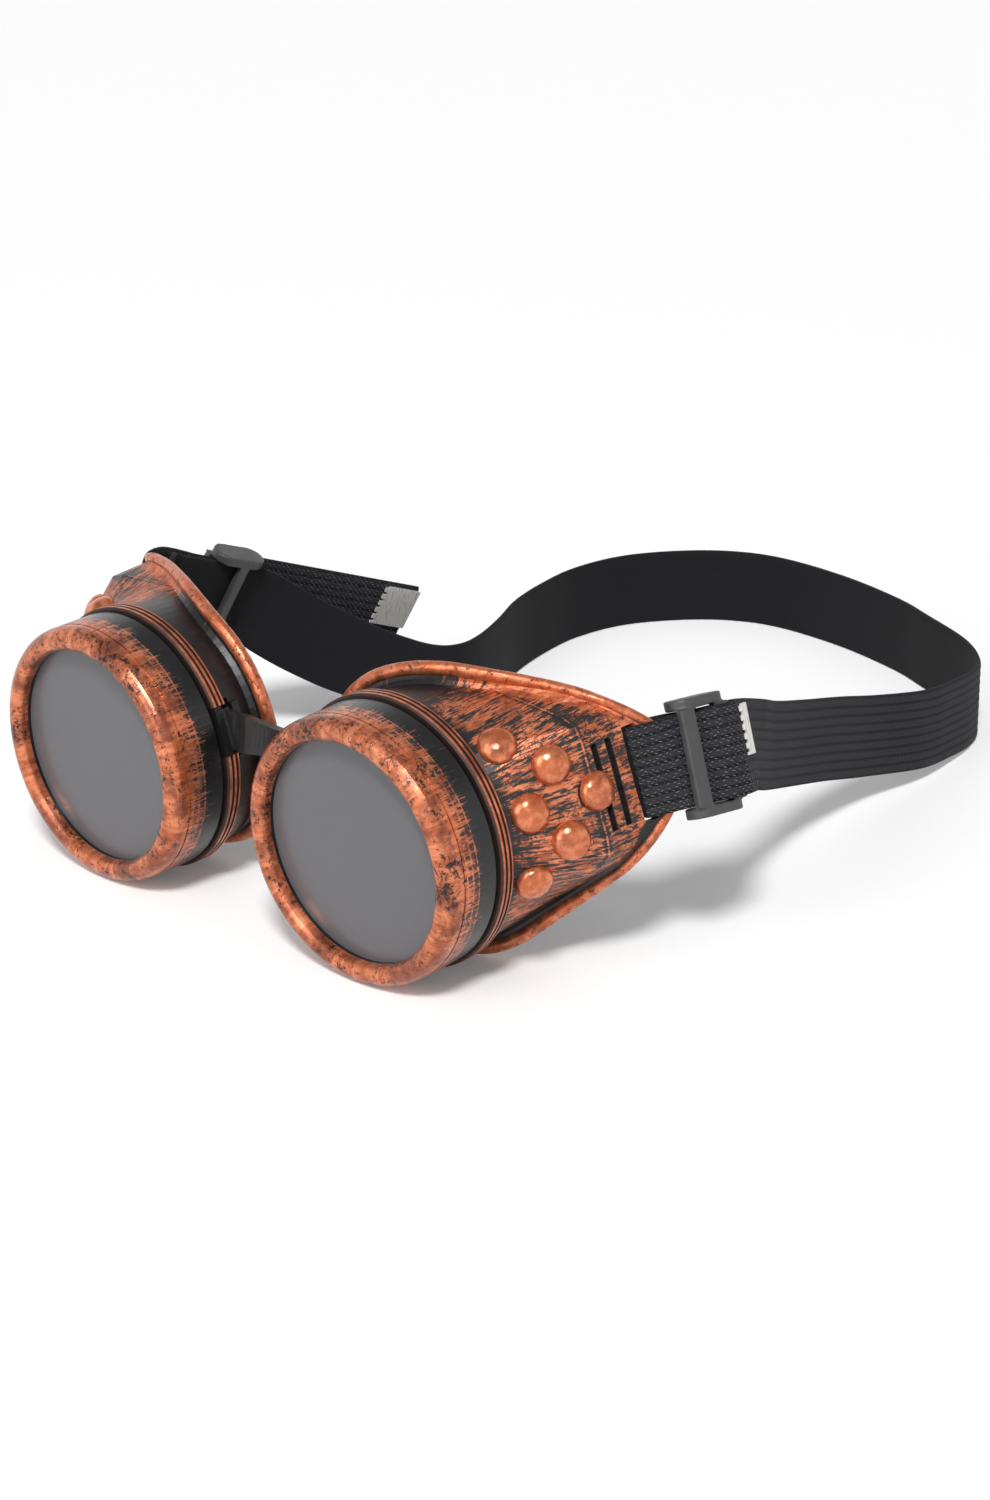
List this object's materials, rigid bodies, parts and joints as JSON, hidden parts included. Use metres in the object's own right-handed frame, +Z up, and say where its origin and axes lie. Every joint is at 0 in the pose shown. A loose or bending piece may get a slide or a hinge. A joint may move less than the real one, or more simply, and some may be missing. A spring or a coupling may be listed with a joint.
{
  "type": "strap goggles",
  "caption": "Round-eyed costume goggles with screw-on copper bezels, dark lenses, domed side shields and an elastic strap with sliders.",
  "frame": {"origin": "on the table under the middle of the whole object", "axes": "X to the wearer's left, Y back from the lenses along the strap, Z up"},
  "size_m": [0.1862, 0.249, 0.065],
  "materials": {
    "rubbed_copper": "black plastic rubbed with antique copper",
    "collar_copper": "antique copper with dark grooves",
    "bezel_copper": "antique copper, speckled and worn",
    "dark_lens": "smooth dark tint",
    "gasket_rubber": "matt",
    "bridge_plastic": "satin black",
    "strap_elastic": "woven elastic with lengthwise ribs",
    "slider_plastic": "satin black",
    "clip_steel": "bright folded sheet"
  },
  "bodies": {
    "root": {"nose_bridge": "bridge_plastic", "strap_band": "strap_elastic"},
    "cup_left": {"eye_cup_left": "rubbed_copper", "collar_ring_left": "collar_copper", "strap_loop_left": "strap_elastic"},
    "lens_stack_left": {"dark_lens_left": "dark_lens", "lens_gasket_left": "gasket_rubber"},
    "bezel_left": {"bezel_ring_left": "bezel_copper"},
    "slider_left": {"strap_slider_left": "slider_plastic", "strap_tail_left": "strap_elastic", "strap_clip_left": "clip_steel"},
    "cup_right": {"eye_cup_right": "rubbed_copper", "collar_ring_right": "collar_copper", "strap_loop_right": "strap_elastic"},
    "lens_stack_right": {"dark_lens_right": "dark_lens", "lens_gasket_right": "gasket_rubber"},
    "bezel_right": {"bezel_ring_right": "bezel_copper"},
    "slider_right": {"strap_slider_right": "slider_plastic", "strap_tail_right": "strap_elastic", "strap_clip_right": "clip_steel"}
  },
  "joints": [
    {"name": "bridge_hinge_left", "type": "hinge", "parent": "root", "child": "cup_left", "pos_m": [0.01336, -0.10537, 0.03947], "axis": [0.302, -0.0475, 0.9521], "range_deg": [-12, 12], "deforming": ["strap_band"]},
    {"name": "lens_lift_left", "type": "slide", "parent": "cup_left", "child": "lens_stack_left", "axis": [0.0244, -0.998, -0.0576], "range_m": [0, 0.00551]},
    {"name": "bezel_turn_left", "type": "hinge", "parent": "lens_stack_left", "child": "bezel_left", "pos_m": [0.04079, -0.11889, 0.03009], "axis": [0.0244, -0.998, -0.0576], "range_deg": [0, 990]},
    {"name": "slider_shift_left", "type": "slide", "parent": "cup_left", "child": "slider_left", "axis": [0.0834, 0.995, -0.0549], "range_m": [0, 0.005], "deforming": ["strap_loop_left"]},
    {"name": "bridge_hinge_right", "type": "hinge", "parent": "root", "child": "cup_right", "pos_m": [-0.01429, -0.10537, 0.03947], "axis": [-0.302, -0.0475, 0.9521], "range_deg": [-12, 12], "deforming": ["strap_band"]},
    {"name": "lens_lift_right", "type": "slide", "parent": "cup_right", "child": "lens_stack_right", "axis": [-0.0244, -0.998, -0.0576], "range_m": [0, 0.00551]},
    {"name": "bezel_turn_right", "type": "hinge", "parent": "lens_stack_right", "child": "bezel_right", "pos_m": [-0.04171, -0.11889, 0.03009], "axis": [-0.0244, -0.998, -0.0576], "range_deg": [0, 990]},
    {"name": "slider_shift_right", "type": "slide", "parent": "cup_right", "child": "slider_right", "axis": [0.1647, 0.9346, -0.3152], "range_m": [-0.006, 0.001], "deforming": ["strap_loop_right"]}
  ],
  "couplings": [
    {"joint": "lens_lift_left", "follows": "bezel_turn_left", "m_per_rad": 0.00031831},
    {"joint": "lens_lift_right", "follows": "bezel_turn_right", "m_per_rad": 0.00031831}
  ]
}
